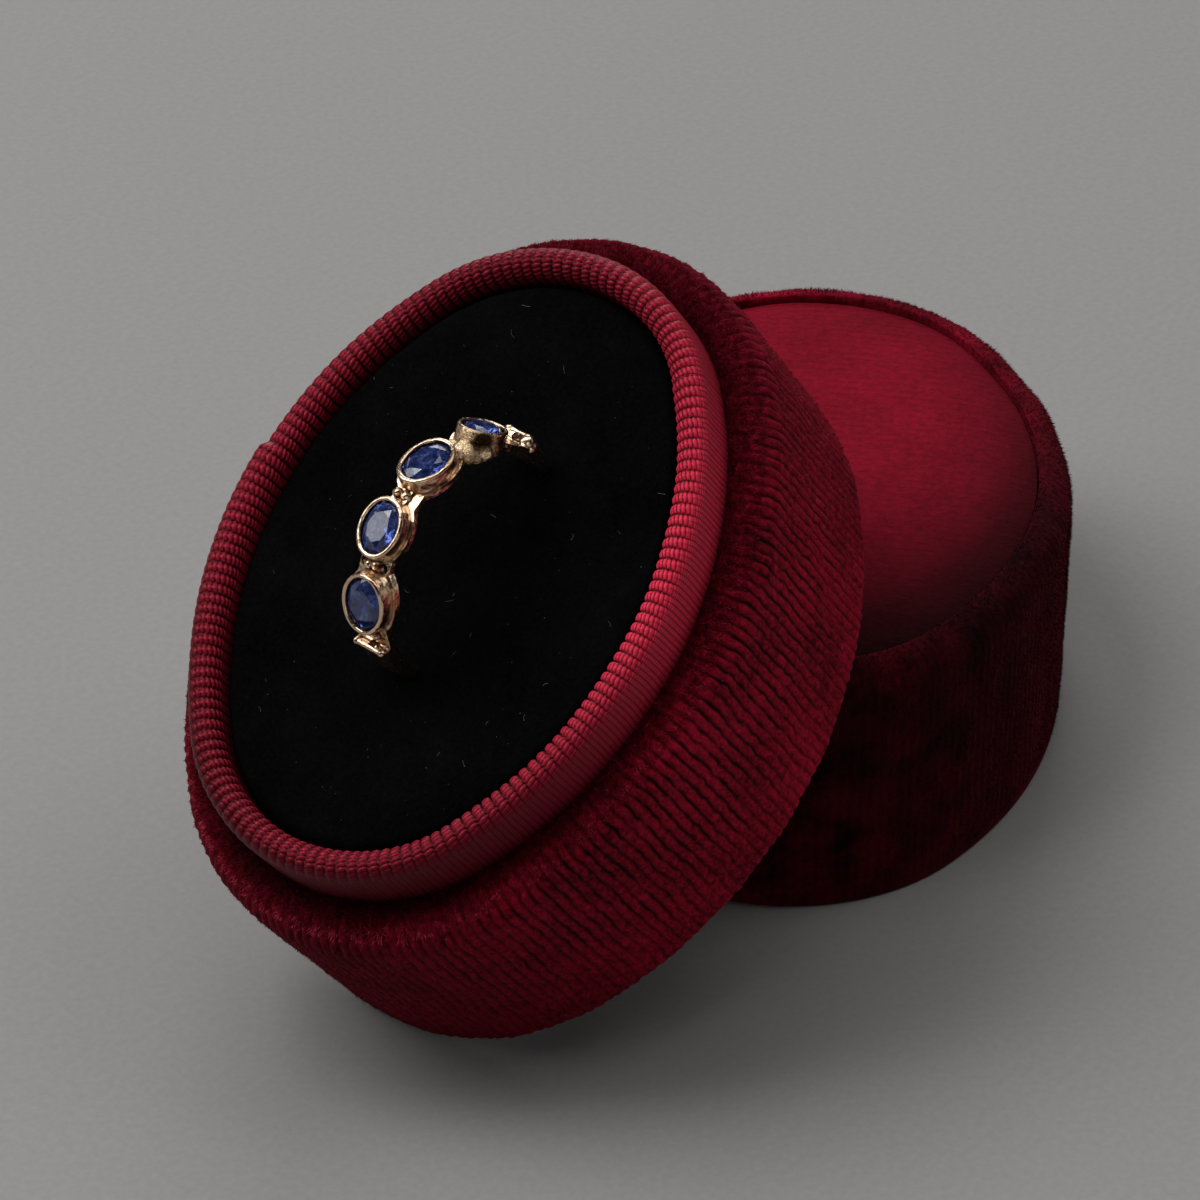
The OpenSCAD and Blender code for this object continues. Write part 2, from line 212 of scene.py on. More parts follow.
class Sweep:
    """A skin that follows an outline round an oval, with a height map on it."""

    def __init__(self, size, outline, columns, height, where, rib=lambda s, u: s):
        self.height, self.where, self.rib = height, where, rib
        self.outline, self.along, self.out = outline
        self.columns = columns
        self.loop, self.normal, self.s, self.girth = oval(*size, columns)

    def at(self, s, u):
        """Points at lengths s round the oval and u along the outline, with three unit vectors for each.

        The vectors point out of the skin, round the oval and along the outline.
        """
        i = np.floor(s / self.girth * self.columns).astype(int) % self.columns
        j = (i + 1) % self.columns
        f = (s / self.girth * self.columns) % 1
        loop = self.loop[i] + (self.loop[j] - self.loop[i]) * f[..., None]
        n = self.normal[i] + (self.normal[j] - self.normal[i]) * f[..., None]
        o = np.interp(u, self.along, self.outline[:, 0])
        z = np.interp(u, self.along, self.outline[:, 1])
        no = np.interp(u, self.along, self.out[:, 0])
        nz = np.interp(u, self.along, self.out[:, 1])
        h = self.height(s, u)
        o, z = o + h * no, z + h * nz
        points = np.concatenate([loop + n * o[..., None], z[..., None]], -1)
        out = np.concatenate([n * no[..., None], nz[..., None]], -1)
        round_ = np.stack([-n[..., 1], n[..., 0], 0 * nz], -1)
        down = np.concatenate([n * nz[..., None], -no[..., None]], -1)
        return points, out, round_, down

    def skin(self, name, material):
        u, s = np.meshgrid(self.along, self.s, indexing="ij")
        points = self.at(s, u)[0].reshape(-1, 3)
        rows, cols = u.shape
        i, j = np.meshgrid(np.arange(rows - 1), np.arange(cols), indexing="ij")
        k = (j + 1) % cols
        faces = np.stack([i * cols + j, (i + 1) * cols + j, (i + 1) * cols + k, i * cols + k], -1)
        uv = np.stack([self.rib(s, u), u], -1).reshape(-1, 2)
        return build(name, to_frame(points, self.where), faces.reshape(-1, 4), uv, material)


def pile(name, sweep, count, u_range, length, width, lean, material, tone, keep):
    """Short fibres on a skin, one thin triangle each. In its UV, x is a tone and y runs to the tip.

    keep is the share of fibres that stay at a place. lean gives how far they lie round the oval and down the
    skin, and how far they stray.
    """
    root_depth = 0.05
    s = rng.uniform(0, sweep.girth, 3 * count)
    u = rng.uniform(*u_range, 3 * count)
    chosen = np.flatnonzero(rng.uniform(0, 1, 3 * count) < keep(s, u))[:count]
    s, u = s[chosen], u[chosen]
    count = len(s)
    root, out, round_, down = sweep.at(s, u)
    along_round, along_down, stray = lean(s, u)
    fibre = out + round_ * along_round[:, None] + down * along_down[:, None]
    fibre = fibre + rng.normal(0, 1, (count, 3)) * stray[:, None]
    fibre /= np.linalg.norm(fibre, axis=1)[:, None]
    reach = length(s, u) * rng.uniform(0.6, 1.25, count)
    side = np.cross(fibre, rng.normal(size=(count, 3)))
    side *= (width * rng.uniform(0.7, 1.3, count) / 2 / np.linalg.norm(side, axis=1))[:, None]
    root = root - out * root_depth
    tip = root + fibre * (reach + root_depth)[:, None]
    points = np.stack([root - side, root + side, tip], 1).reshape(-1, 3)
    faces = np.arange(3 * count).reshape(-1, 3)
    shade = np.clip(tone(s, u) + rng.uniform(-0.3, 0.3, count), 0, 1)
    uv = np.stack([np.repeat(shade, 3), np.tile([0.0, 0.0, 1.0], count)], -1)
    return build(name, to_frame(points, sweep.where), faces, uv, material, smooth=False)


def disc(name, size, rows, columns, height, where, material, flip=False):
    """A filled oval with a height map z(x, y, share of the way to the edge), finer towards its edge."""
    loop, _, _, _ = oval(*size, columns)
    share = np.linspace(0, 1, rows + 1)[1:] ** 0.9
    xy = (loop[None] * share[:, None, None]).reshape(-1, 2)
    f = np.repeat(share, columns)
    xy = np.concatenate([[[0, 0]], xy])
    f = np.concatenate([[0], f])
    points = np.concatenate([xy, height(xy[:, 0], xy[:, 1], f)[:, None]], -1)
    j = np.arange(columns)
    k = (j + 1) % columns
    triangles = [np.stack([0 * j, 1 + j, 1 + k], -1)]
    for r in range(rows - 1):
        a, b = 1 + r * columns, 1 + (r + 1) * columns
        triangles.append(np.stack([a + j, b + j, b + k], -1))
        triangles.append(np.stack([a + j, b + k, a + k], -1))
    faces = np.concatenate(triangles)
    if flip:
        faces = faces[:, ::-1]
    return build(name, to_frame(points, where), faces, xy, material)


# Materials. Noise scales are per metre of the frame, unless their place is counted in ribs


def grey(value):
    return (value,) * 3


WHITE, DARK = grey(1), grey(0)
# Tables of (length down the wall, value) reach this far, in millimetres
WALL_RUN = 28
# How deep the painted shade between the ribs is, down the wall
RIB_DEPTH_DOWN_WALL = [(4.76, 0.15), (8.4, 1), (16.8, 1), (26.6, 0.55)]
# Where the rim's edge lies, and how much painted shade darkens it at its darkest
RIM_BAND = [(4.48, 0), (5.88, 1), (7.56, 1), (9.52, 0)]
RIM_LOSS = 0.5
# The panel's painted shade, from its bright side to its dark edge
PANEL_EDGE = [(0.36, WHITE), (0.58, grey(0.55)), (0.7, grey(0.2)), (0.84, grey(0.06))]


class Nodes:
    """A material, and short calls for the nodes that it is made of."""

    def __init__(self, name):
        self.material = bpy.data.materials.new(name)
        self.material.use_nodes = True
        self.tree = self.material.node_tree
        self.shader = self.tree.nodes["Principled BSDF"]

    def new(self, kind, **values):
        node = self.tree.nodes.new(kind)
        for key, value in values.items():
            if key in node.inputs:
                node.inputs[key].default_value = value
            else:
                setattr(node, key, value)
        return node

    def link(self, a, b):
        self.tree.links.new(a, b)

    def set(self, **values):
        for key, value in values.items():
            self.shader.inputs[key.replace("_", " ")].default_value = value

    def math(self, operation, a, b=None):
        node = self.new("ShaderNodeMath", operation=operation)
        for i, value in enumerate((a, b)):
            if value is None:
                continue
            if isinstance(value, (int, float)):
                node.inputs[i].default_value = value
            else:
                self.link(value, node.inputs[i])
        return node.outputs[0]

    def product(self, total, *others):
        for other in others:
            total = self.math("MULTIPLY", total, other)
        return total

    def mixed(self, a, b, share):
        """Two values added, b in this share and a in the rest."""
        return self.math("ADD", self.product(a, 1 - share), self.product(b, share))

    def uv(self):
        node = self.new("ShaderNodeUVMap")
        node.uv_map = "mm"
        split = self.new("ShaderNodeSeparateXYZ")
        self.link(node.outputs[0], split.inputs[0])
        return split.outputs[0], split.outputs[1]

    def place(self):
        """Position in the frame, in metres: it stays with the object because nothing in it moves."""
        return self.new("ShaderNodeTexCoord").outputs["Object"]

    def point(self, x, y):
        node = self.new("ShaderNodeCombineXYZ")
        self.link(x, node.inputs[0])
        self.link(y, node.inputs[1])
        return node.outputs[0]

    def times(self, a, b):
        """One colour times another."""
        node = self.new("ShaderNodeMix", data_type="RGBA", blend_type="MULTIPLY")
        node.inputs[0].default_value = 1
        self.link(a, node.inputs[6])
        self.link(b, node.inputs[7])
        return node.outputs[2]

    def blend(self, share, a, b):
        """Colour a where share is 0 and b where it is 1. a may be a plain colour."""
        node = self.new("ShaderNodeMix", data_type="RGBA")
        self.link(share, node.inputs[0])
        if isinstance(a, tuple):
            node.inputs[6].default_value = (*a, 1)
        else:
            self.link(a, node.inputs[6])
        self.link(b, node.inputs[7])
        return node.outputs[2]

    def noise(self, vector, scale, detail=2.0, roughness=0.5):
        node = self.new("ShaderNodeTexNoise", Scale=scale, Detail=detail, Roughness=roughness)
        self.link(vector, node.inputs["Vector"])
        return node.outputs["Fac"]

    def scaled(self, value, low, high, to_low=0.0, to_high=1.0):
        node = self.new("ShaderNodeMapRange")
        self.link(value, node.inputs["Value"])
        for key, number in zip(("From Min", "From Max", "To Min", "To Max"), (low, high, to_low, to_high)):
            node.inputs[key].default_value = number
        return node.outputs[0]

    def ramp(self, value, stops):
        node = self.new("ShaderNodeValToRGB")
        cells = node.color_ramp.elements
        while len(cells) < len(stops):
            cells.new(0.5)
        for cell, (at, colour) in zip(cells, stops):
            cell.position = at
            cell.color = (*colour, 1)
        self.link(value, node.inputs[0])
        return node.outputs[0]

    def along(self, u, stops):
        """A value that changes down a wall, from a table of (length, value) pairs."""
        greys = [(length / WALL_RUN, grey(value)) for length, value in stops]
        return self.ramp(self.math("DIVIDE", u, WALL_RUN), greys)

    def sided(self, count, whole, level, both, one, end=0.0):
        """A value round an oval of whole ribs: a level, with gains at both sides, at one and at one end."""
        way = self.math("SUBTRACT", self.product(count, 2 * math.pi / whole), BEFORE_END)
        sine = self.math("SINE", way)
        total = self.math("ADD", self.product(sine, sine, both), level)
        total = self.math("ADD", total, self.product(sine, one))
        return self.math("ADD", total, self.product(self.math("COSINE", way), end))

    def ribs(self, count, each=1):
        """0 between two ribs and 1 on their crests, with this many ribs for each one counted."""
        return self.math("ABSOLUTE", self.math("SINE", self.product(count, each * math.pi)))

    def near(self, point, radius):
        """1 at a point of the frame, falling to 0 at the radius, in metres."""
        node = self.new("ShaderNodeVectorMath", operation="DISTANCE")
        self.link(self.place(), node.inputs[0])
        node.inputs[1].default_value = point
        return self.scaled(node.outputs["Value"], radius * 0.6, radius, 1.0, 0.0)

    def bump(self, height, distance, strength=1.0, under=None):
        node = self.new("ShaderNodeBump", Strength=strength, Distance=distance)
        self.link(height, node.inputs["Height"])
        if under is not None:
            self.link(under, node.inputs["Normal"])
        return node.outputs[0]

    def finish(self, colour, normal=None):
        self.link(colour, self.shader.inputs["Base Color"])
        if normal is not None:
            self.link(normal, self.shader.inputs["Normal"])
        return self.material


def rib_gaps(m, count, u, dash):
    """1 between two ribs where a dash lies, less where none does, and 0 on the ribs."""
    cell = m.point(m.product(m.math("ROUND", count), 7.3), m.math("DIVIDE", u, dash))
    dashes = m.ramp(m.noise(cell, 1.0, 3, 0.7), [(0.36, DARK), (0.6, WHITE)])
    gap = m.ramp(m.ribs(count), [(0.1, WHITE), (0.85, DARK)])
    return m.product(gap, m.math("ADD", m.product(dashes, 0.55), 0.45))


def panel_painted_shade(m, x, y, size, lean_x, lean_y):
    """Painted shade on an oval panel: darker towards its edge, and most towards the edge that the lean
    points to.
    """
    x = m.math("DIVIDE", x, size[0])
    y = m.math("DIVIDE", y, size[1])
    out = m.math("SQRT", m.math("ADD", m.product(x, x), m.product(y, y)))
    towards = m.math("ADD", m.product(x, lean_x), m.product(y, lean_y))
    return m.ramp(m.product(m.math("ADD", out, towards), 0.6), PANEL_EDGE)


def velvet(name, dark, light, groove, dash=1.5, mottle=0.3, patch=9.0,
           tones=None, sides=None, depth=None, rim=None, panel=None):
    """Short pile over fine ribs: in the UV, x counts the ribs and y runs along them, in millimetres.

    groove is the painted shade between two ribs, where dark dashes about dash millimetres long break it up.
    mottle is the share of the patches, about patch millimetres wide, in the tone. tones are painted light
    and shade
    at lengths along the ribs. sides, depth and rim are values for painted light and shade that changes round
    the oval:
    the shade, the depth of the ribs' painted shade, and how dark the rim's edge is painted. For a panel the
    UV is its plan, and panel gives its painted shade, which darkens towards one edge.
    """
    m = Nodes(name)
    at = m.place()
    count, u = m.uv()
    fine = m.noise(at, 2600, 3, 0.7)
    tufts = m.noise(m.point(m.product(count, 1.7), m.product(u, 1.1)), 1.0, 3, 0.7)
    grain = m.mixed(fine, tufts, 0.6)
    patches = m.noise(at, 1000 / patch, 3, 0.6)
    colour = m.ramp(m.mixed(grain, patches, mottle), [(0.38, dark), (0.62, light)])
    # Painted shade between the ribs
    gaps = rib_gaps(m, count, u, dash)
    if depth:
        gaps = m.product(gaps, m.sided(count, **depth), m.along(u, RIB_DEPTH_DOWN_WALL))
    shade = m.ramp(gaps, [(0.0, WHITE), (1.0, grey(groove))])
    # Painted light and shade down the wall, round the oval, on the rim's edge and over a panel
    if tones:
        shade = m.product(shade, m.along(u, tones))
    if sides:
        shade = m.product(shade, m.sided(count, **sides))
    if rim:
        darkness = m.scaled(m.sided(count, **rim), 0.0, 1.0, 0.0, RIM_LOSS)
        shade = m.product(shade, m.math("SUBTRACT", 1.0, m.product(m.along(u, RIM_BAND), darkness)))
    if panel:
        shade = m.product(shade, panel_painted_shade(m, count, u, **panel))
    m.set(Roughness=0.95, Specular_IOR_Level=0.1)
    m.set(Sheen_Weight=0.3, Sheen_Roughness=0.35, Sheen_Tint=(0.7, 0.03, 0.07, 1))
    return m.finish(m.times(colour, shade), m.bump(grain, 0.0002, 0.9))


def fibres(name, root, dark, light, bright):
    """The pile's fibres, from a root colour that paints the pile's shade to a colour that their tone picks.
    """
    m = Nodes(name)
    tone, tip = m.uv()
    colour = m.ramp(tone, [(0.0, dark), (0.7, light), (1.0, bright)])
    m.set(Roughness=0.7, Specular_IOR_Level=0.15, Specular_Tint=(1, 0.2, 0.28, 1))
    # Painted shade at the fibres' roots, where the pile shades itself
    return m.finish(m.blend(m.ramp(tip, [(0.0, grey(0.25)), (0.8, WHITE)]), root, colour))


def ribbon_cloth():
    """Ribs of coarse thread on the fold, up to FOLD_END along the outline, and of fine thread outside it,
    with painted shade in their gaps and painted light and shade round the ribbon.
    """
    m = Nodes("red_ribbon")
    count, u = m.uv()
    fine = m.noise(m.place(), 3500, 2, 0.6)
    outside = m.scaled(u, FOLD_END - 0.9, FOLD_END + 0.5)

    def twisted(pitch, gap, crest_at):
        """Threads of this pitch, which run askew over each rib, and painted shade in their gaps."""
        skew = m.product(m.math("FRACT", count), 0.5)
        turns = m.math("ADD", m.math("DIVIDE", u, pitch), skew)
        wave = m.math("SINE", m.product(turns, 2 * math.pi))
        return m.ramp(m.scaled(wave, -1, 1), [(0.1, gap), (crest_at, WHITE)])

    # Painted shade in the gaps between the threads and between the ribs
    coarse = twisted(THREAD, (0.3, 0.18, 0.18), 0.55)
    thin = twisted(FINE_THREAD, (0.5, 0.4, 0.4), 0.6)
    wide = m.ramp(m.ribs(count), [(0.12, (0.08, 0.02, 0.02)), (0.6, WHITE)])
    narrow = m.ramp(m.ribs(count, 2), [(0.05, (0.3, 0.22, 0.22)), (0.7, WHITE)])
    thread_gap_shade = m.times(m.blend(outside, coarse, thin), m.blend(outside, wide, narrow))

    # Painted light and shade round the ribbon: brighter at the right side, the outer wall brighter at the
    # far end and darker at the near end, darker towards its foot and at the near right
    beyond_crest = m.scaled(u, FOLD_END - 1.5, FOLD_END - 0.3)
    wall = m.sided(count, RIBBON_RIBS, level=-0.15, both=0.1, one=0.0, end=0.5)
    wall = m.math("ADD", m.product(beyond_crest, wall), 1.0)
    foot = m.scaled(u, 8.2, 9.8, 1.0, 0.5)
    near_right_shade = m.sided(count, RIBBON_RIBS, level=0.0, both=0.0, one=-0.71, end=-0.71)
    near_right_shade = m.scaled(near_right_shade, 0.7, 1.0, 1.0, 0.55)
    tone = m.sided(count, RIBBON_RIBS, level=0.28, both=0.4, one=-0.32, end=-0.03)
    shade = m.ramp(m.product(tone, wall, foot, near_right_shade), [(0.0, DARK), (1.0, WHITE)])

    colour = m.ramp(fine, [(0.3, (0.8, 0.03, 0.075)), (0.7, (1.0, 0.055, 0.12))])
    m.link(m.scaled(outside, 0.0, 1.0, 0.3, 0.6), m.shader.inputs["Roughness"])
    m.set(Specular_IOR_Level=0.6, Specular_Tint=(1, 0.1, 0.17, 1))
    return m.finish(m.times(m.times(colour, shade), thread_gap_shade), m.bump(fine, 0.00006, 0.6))


def black_cloth():
    m = Nodes("black_velvet")
    at = m.place()
    fine = m.noise(at, 3000, 3, 0.7)
    patches = m.noise(at, 130, 3, 0.6)
    tone = m.mixed(fine, patches, 0.5)
    colour = m.ramp(tone, [(0.35, (0.0008, 0.0008, 0.001)), (0.7, (0.0045, 0.0045, 0.0052))])
    m.set(Roughness=0.95, Specular_IOR_Level=0.02)
    return m.finish(colour, m.bump(fine, 0.0002, 0.8))


def plain(name, colour):
    m = Nodes(name)
    fine = m.noise(m.place(), 900, 4, 0.6)
    low = tuple(c * 0.8 for c in colour)
    m.set(Roughness=0.8, Specular_IOR_Level=0.2)
    return m.finish(m.ramp(fine, [(0.3, low), (0.7, colour)]), m.bump(fine, 0.00005, 0.3))


def gold():
    """Hand-worked gold, with painted shade in its corners, rough dull solder, and painted shade in a hollow
    in it.
    """
    m = Nodes("gold")
    at = m.place()
    dents = m.noise(at, 900, 2, 0.5)
    grain = m.noise(at, 5000, 3, 0.65)
    lumps = m.noise(at, 2600, 4, 0.75)
    colour = m.ramp(m.noise(at, 420, 3, 0.6), [(0.3, (0.74, 0.48, 0.3)), (0.7, (1.0, 0.8, 0.58))])
    # Painted shade: the gold is darker in its corners, where ambient occlusion finds them
    corners = m.new("ShaderNodeAmbientOcclusion", Distance=0.0007, samples=6)
    corner_shade = m.ramp(corners.outputs["AO"], [(0.2, (0.1, 0.06, 0.04)), (0.8, WHITE)])
    solder = m.near(SOLDER, 0.0021)
    dull = m.blend(solder, WHITE, m.ramp(lumps, [(0.36, (0.25, 0.22, 0.13)), (0.5, (1, 1, 0.9))]))
    # Painted shade: the gold is darkened round the hollow
    hollow_shade = m.ramp(m.near(HOLLOW, 0.0011), [(0.0, WHITE), (0.8, (0.07, 0.05, 0.035))])
    roughness = m.math("ADD", m.product(solder, 0.06), 0.1)
    m.link(m.math("ADD", m.product(grain, 0.25), roughness), m.shader.inputs["Roughness"])
    m.set(Metallic=1.0)
    height = m.math("ADD", dents, m.product(solder, lumps))
    colour = m.times(m.times(colour, corner_shade), m.times(dull, hollow_shade))
    return m.finish(colour, m.bump(height, 0.0002, 0.8, m.bump(grain, 0.00004, 0.5)))


def sapphire():
    """Clear blue stone with a cloudy inside, whose light blue patches are also painted glints."""
    m = Nodes("blue_stone")
    cloud_and_glints = m.noise(m.place(), 1500, 5, 0.8)
    # Dark to light blue: partly the stone's cloud, partly painted glints
    blues = [(0.34, (0.014, 0.024, 0.12)), (0.52, (0.06, 0.1, 0.4)), (0.68, (0.35, 0.48, 0.98))]
    m.set(Roughness=0.03, IOR=1.76, Transmission_Weight=0.75)
    return m.finish(m.ramp(cloud_and_glints, blues))


GOLD, STONE = gold(), sapphire()
# Painted light and shade on the base's velvet: dark beside the collar, bright on the rim's rounded edge,
# lighter at the right side with deeper painted grooves there, and a darker rim's edge towards the far right
RED = velvet(
    "red_velvet", dark=(0.05, 0.001, 0.004), light=(0.56, 0.009, 0.041), groove=0.05, dash=4.0,
    tones=[(0, 0.2), (5, 0.28), (6.6, 1.0), (9, 0.9), (20, 0.85), (28, 0.95)],
    sides=dict(whole=BASE_RIBS, level=0.48, both=0.5, one=-0.3, end=0.15),
    depth=dict(whole=BASE_RIBS, level=0.65, both=0.25, one=-0.45),
    rim=dict(whole=BASE_RIBS, level=0.1, both=0.0, one=-0.52, end=0.86),
)
# Painted shade on the lid's velvet: darker than the base's, darkest in the seam beside the panel, darker at
# the sides and lighter at the far end
LID_RED = velvet(
    "red_velvet_lid", dark=(0.03, 0.0009, 0.003), light=(0.4, 0.006, 0.03), groove=0.7,
    mottle=0.8, patch=5.0,
    tones=[(0, 0.3), (1.2, 1.0), (4, 0.8), (6.5, 0.55), (14, 0.75), (21, 1.0), (28, 1.0)],
    sides=dict(whole=LID_RIBS, level=0.62, both=-0.34, one=0.1, end=0.33),
)
# Painted shade on the panel: darker towards its edge, most towards its near end
PANEL = velvet(
    "red_velvet_panel", dark=(0.15, 0.002, 0.01), light=(0.3, 0.0045, 0.022), groove=0.85,
    panel=dict(size=PANEL_OVAL, lean_x=-0.35, lean_y=-0.21),
)
# bright is the painted highlight that the fibres on the rim's edge get through their tone
RED_PILE = fibres(
    "red_pile", root=(0.03, 0.001, 0.002), dark=(0.06, 0.0015, 0.005), light=(0.3, 0.008, 0.028),
    bright=(0.8, 0.07, 0.13),
)
# A darker copy of the base's fibres: painted shade on the lid's wall
LID_PILE = fibres(
    "red_pile_lid", root=(0.014, 0.0004, 0.001), dark=(0.02, 0.0006, 0.0015), light=(0.08, 0.0015, 0.006),
    bright=(0.3, 0.008, 0.03),
)
RIBBON = ribbon_cloth()
BLACK = black_cloth()
LINT = plain("lint", (0.24, 0.24, 0.25))
LINING = plain("lining", (0.02, 0.018, 0.018))

# The ring and its stones: the solids themselves, in better materials

for name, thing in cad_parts.items():
    if name == "ring_mount" or name.startswith("stone"):
        for place in thing.material_slots:
            place.material = GOLD if name == "ring_mount" else STONE

# The base's velvet, from the collar's foot over the rim and down the wall to the board

# Width of the rim, rounding of its inner edge, where the velvet starts beside the collar, and its hem
RIM_W, RIM_EDGE, TUCK_Z, HEM = 3.6, 0.3, 17.8, 1.6
base_path = path(
    line((-RIM_W, TUCK_Z), (-RIM_W, BASE_H - RIM_EDGE), 0.45),
    arc((-RIM_W + RIM_EDGE, BASE_H - RIM_EDGE), RIM_EDGE, 180, 90, 0.15),
    line((-RIM_W + RIM_EDGE, BASE_H), (-BASE_ROUND, BASE_H), 0.25),
    arc((-BASE_ROUND, BASE_H - BASE_ROUND), BASE_ROUND, 90, 0, 0.3),
    line((0, BASE_H - BASE_ROUND), (0, BASE_FOOT), 0.45),
    arc((-BASE_FOOT, BASE_FOOT), BASE_FOOT, 0, -90, 0.2),
    line((-BASE_FOOT, 0), (-HEM, 0), 0.5),
    line((-HEM, 0), (-HEM, 0.8), 0.4),
)
base_girth = girth_of(BASE_OVAL)


def base_rib(s, u):
    way = 2 * math.pi * s / base_girth
    rib = s / base_girth * BASE_RIBS + 0.12 * waves(s, u, 5, 7) + 0.1 * waves(s, u, 8, 2)
    return rib + 0.3 * np.sin(3 * way)


def base_wall(u):
    """0 on top of the rim, 1 on the wall."""
    return np.clip((u - 4.5) / 3.5, 0, 1)


def base_height(s, u):
    rib = np.abs(np.sin(math.pi * base_rib(s, u))) ** 0.8
    wall = base_wall(u) * np.clip((30 - u) / 2, 0, 1)
    dents = 0.06 * waves(s, u, 6, 5) + 0.05 * waves(s, u, 7, 1.0)
    return (rib - 0.62) * (0.05 + 0.1 * wall) + 0.08 * wall + dents


def base_pile_length(s, u):
    return 0.62 - 0.36 * base_wall(u)


def base_pile_lean(s, u):
    """Every way on the rim, and combed down on the wall."""
    wall = base_wall(u)
    round_oval = 0.7 * waves(s, u, 21, 3) * (1 - 0.8 * wall)
    down_skin = 0.3 + 1.2 * wall + 0.7 * waves(s, u, 22, 3)
    return round_oval, down_skin, 0.75 - 0.3 * wall


def base_pile_tone(s, u):
    """Painted light on the rim's edge at the near left, and painted shade on the rim's top and at the left.
    """
    way = way_round(s, base_girth)
    edge = (0.3 + 0.45 * np.cos(way - 2.6)) * np.exp(-((u - 7.2) / 1.0) ** 2)
    sides = -0.2 * np.sin(way) + 0.1 * np.cos(way)
    return 0.2 + 0.32 * waves(s, u, 23, 1.3) - 0.22 * (u < 5) + edge + sides


def base_pile_keep(s, u):
    """Every fibre on the rim, and on the wall those on the ribs' crests."""
    crest = np.abs(np.sin(math.pi * base_rib(s, u)))
    return np.where(u < 7.5, 1.0, 0.28 * crest ** (6 * base_wall(u)))


base_sweep = Sweep(BASE_OVAL, base_path, BASE_RIBS * 6, base_height, BASE, base_rib)
base_velvet = base_sweep.skin("base_velvet", RED)
base_pile = pile(
    "base_pile", base_sweep, count=150000, u_range=(2.2, 28.3), length=base_pile_length, width=0.065,
    lean=base_pile_lean, material=RED_PILE, tone=base_pile_tone, keep=base_pile_keep,
)
base_board = disc("base_board", BOARD_OVAL, 3, 160, level(BOARD_Z), BASE, LINING, flip=True)

# The ribbon on the collar, from inside the fold over it and down to the base

FOLD_R = COLLAR_T / 2
FOLD_Z = COLLAR_H - FOLD_R
ribbon_path = path(
    line((-COLLAR_T, FOLD_Z - 2.2), (-COLLAR_T, FOLD_Z), 0.2),
    arc((-FOLD_R, FOLD_Z), FOLD_R, 180, 0, 0.09),
    line((0, FOLD_Z), (0, FOLD_Z - 1.2), 0.1),
    line((0, FOLD_Z - 1.2), (0, FOLD_Z - 7.8), 0.4),
)
ribbon_girth = girth_of(COLLAR_OVAL)
# The ribbon's end lies over its start: where that begins and ends, and over what length it thins out
OVERLAP, OVERLAP_FADE, OVERLAP_T = (47.0, 79.0), 26, 0.42


def ribbon_rib(s, u):
    way = 2 * math.pi * s / ribbon_girth
    stray = 0.25 * np.sin(2 * way + 1) + 0.15 * np.sin(5 * way) + 0.08 * waves(s, u, 31, 6)
    return s / ribbon_girth * RIBBON_RIBS + stray


def ribbon_height(s, u):
    share = ribbon_rib(s, u) % 1
    fold = np.clip((u - 1.0) / 0.8, 0, 1) * np.clip((FOLD_END + 0.2 - u) / 1.0, 0, 1)
    rib = np.sin(math.pi * share) ** 0.5 - 0.75
    thread = np.sin(2 * math.pi * (u / THREAD + 0.5 * share))
    outer = np.clip((u - 2.6) / 2.0, 0, 1)
    lapped = np.clip((s - OVERLAP[0]) / 0.5, 0, 1) * np.clip((OVERLAP[1] - s) / OVERLAP_FADE, 0, 1)
    step = OVERLAP_T * outer * lapped
    return rib * (0.08 + 0.2 * fold) + 0.06 * thread * fold + 0.05 * waves(s, u, 32, 12) + step


ribbon_sweep = Sweep(COLLAR_OVAL, ribbon_path, RIBBON_RIBS * 7, ribbon_height, BASE, ribbon_rib)
ribbon = ribbon_sweep.skin("ribbon", RIBBON)

# The black pad and the lint on it

HAIRS, HAIR_PARTS, SPECKS = 26, 7, 150


def pad_height(x, y, share):
    edge = np.clip((share - 0.955) / 0.045, 0, 1)
    return PAD_Z + 0.05 - 1.5 * edge ** 2.2 + 0.05 * waves(x, y, 41, 6) + 0.02 * waves(x, y, 42, 1.1)


def on_pad():
    """A random place on the pad, clear of its edge."""
    while True:
        x, y = rng.uniform(-22, 22), rng.uniform(-15, 15)
        if (x / 22.5) ** 2 + (y / 15.5) ** 2 < 1:
            return x, y


def across(angle):
    return np.array([-math.sin(angle), math.cos(angle), 0])


def hair():
    """The quads of one bent hair."""
    quads = []
    x, y = on_pad()
    angle, length, bend = rng.uniform(0, 2 * math.pi), rng.uniform(0.2, 0.8), rng.normal(0, 1.6)
    thick = rng.uniform(0.004, 0.009)
    for t in np.linspace(0, 1, HAIR_PARTS + 1)[:-1]:
        a0, a1 = angle + bend * t, angle + bend * (t + 1 / HAIR_PARTS)
        p = np.array([x, y, PAD_Z + 0.13 + 0.1 * t])
        q = p + np.array([math.cos(a0), math.sin(a0), 0.1]) * length / HAIR_PARTS
        w0, w1 = across(a0) * thick, across(a1) * thick
        quads.append([p - w0, p + w0, q + w1, q - w1])
        x, y = q[:2]
    return quads


def speck():
    x, y = on_pad()
    r = rng.uniform(0.006, 0.02)
    corners = ((-1, -1), (1, -1), (1, 1), (-1, 1))
    return [np.array([x + dx * r, y + dy * r, PAD_Z + 0.14]) for dx, dy in corners]


pad = disc("pad", PAD_OVAL, 70, 340, pad_height, BASE, BLACK)
quads = []
for _ in range(HAIRS):
    quads += hair()
for _ in range(SPECKS):
    quads.append(speck())
corners = np.array(quads).reshape(-1, 3)
lint = build("lint", to_frame(corners, BASE), np.arange(len(corners)).reshape(-1, 4),
             np.zeros((len(corners), 2)), LINT)

# The lid's velvet, from the panel's seam over the edge and down the wall to the rim it stands on

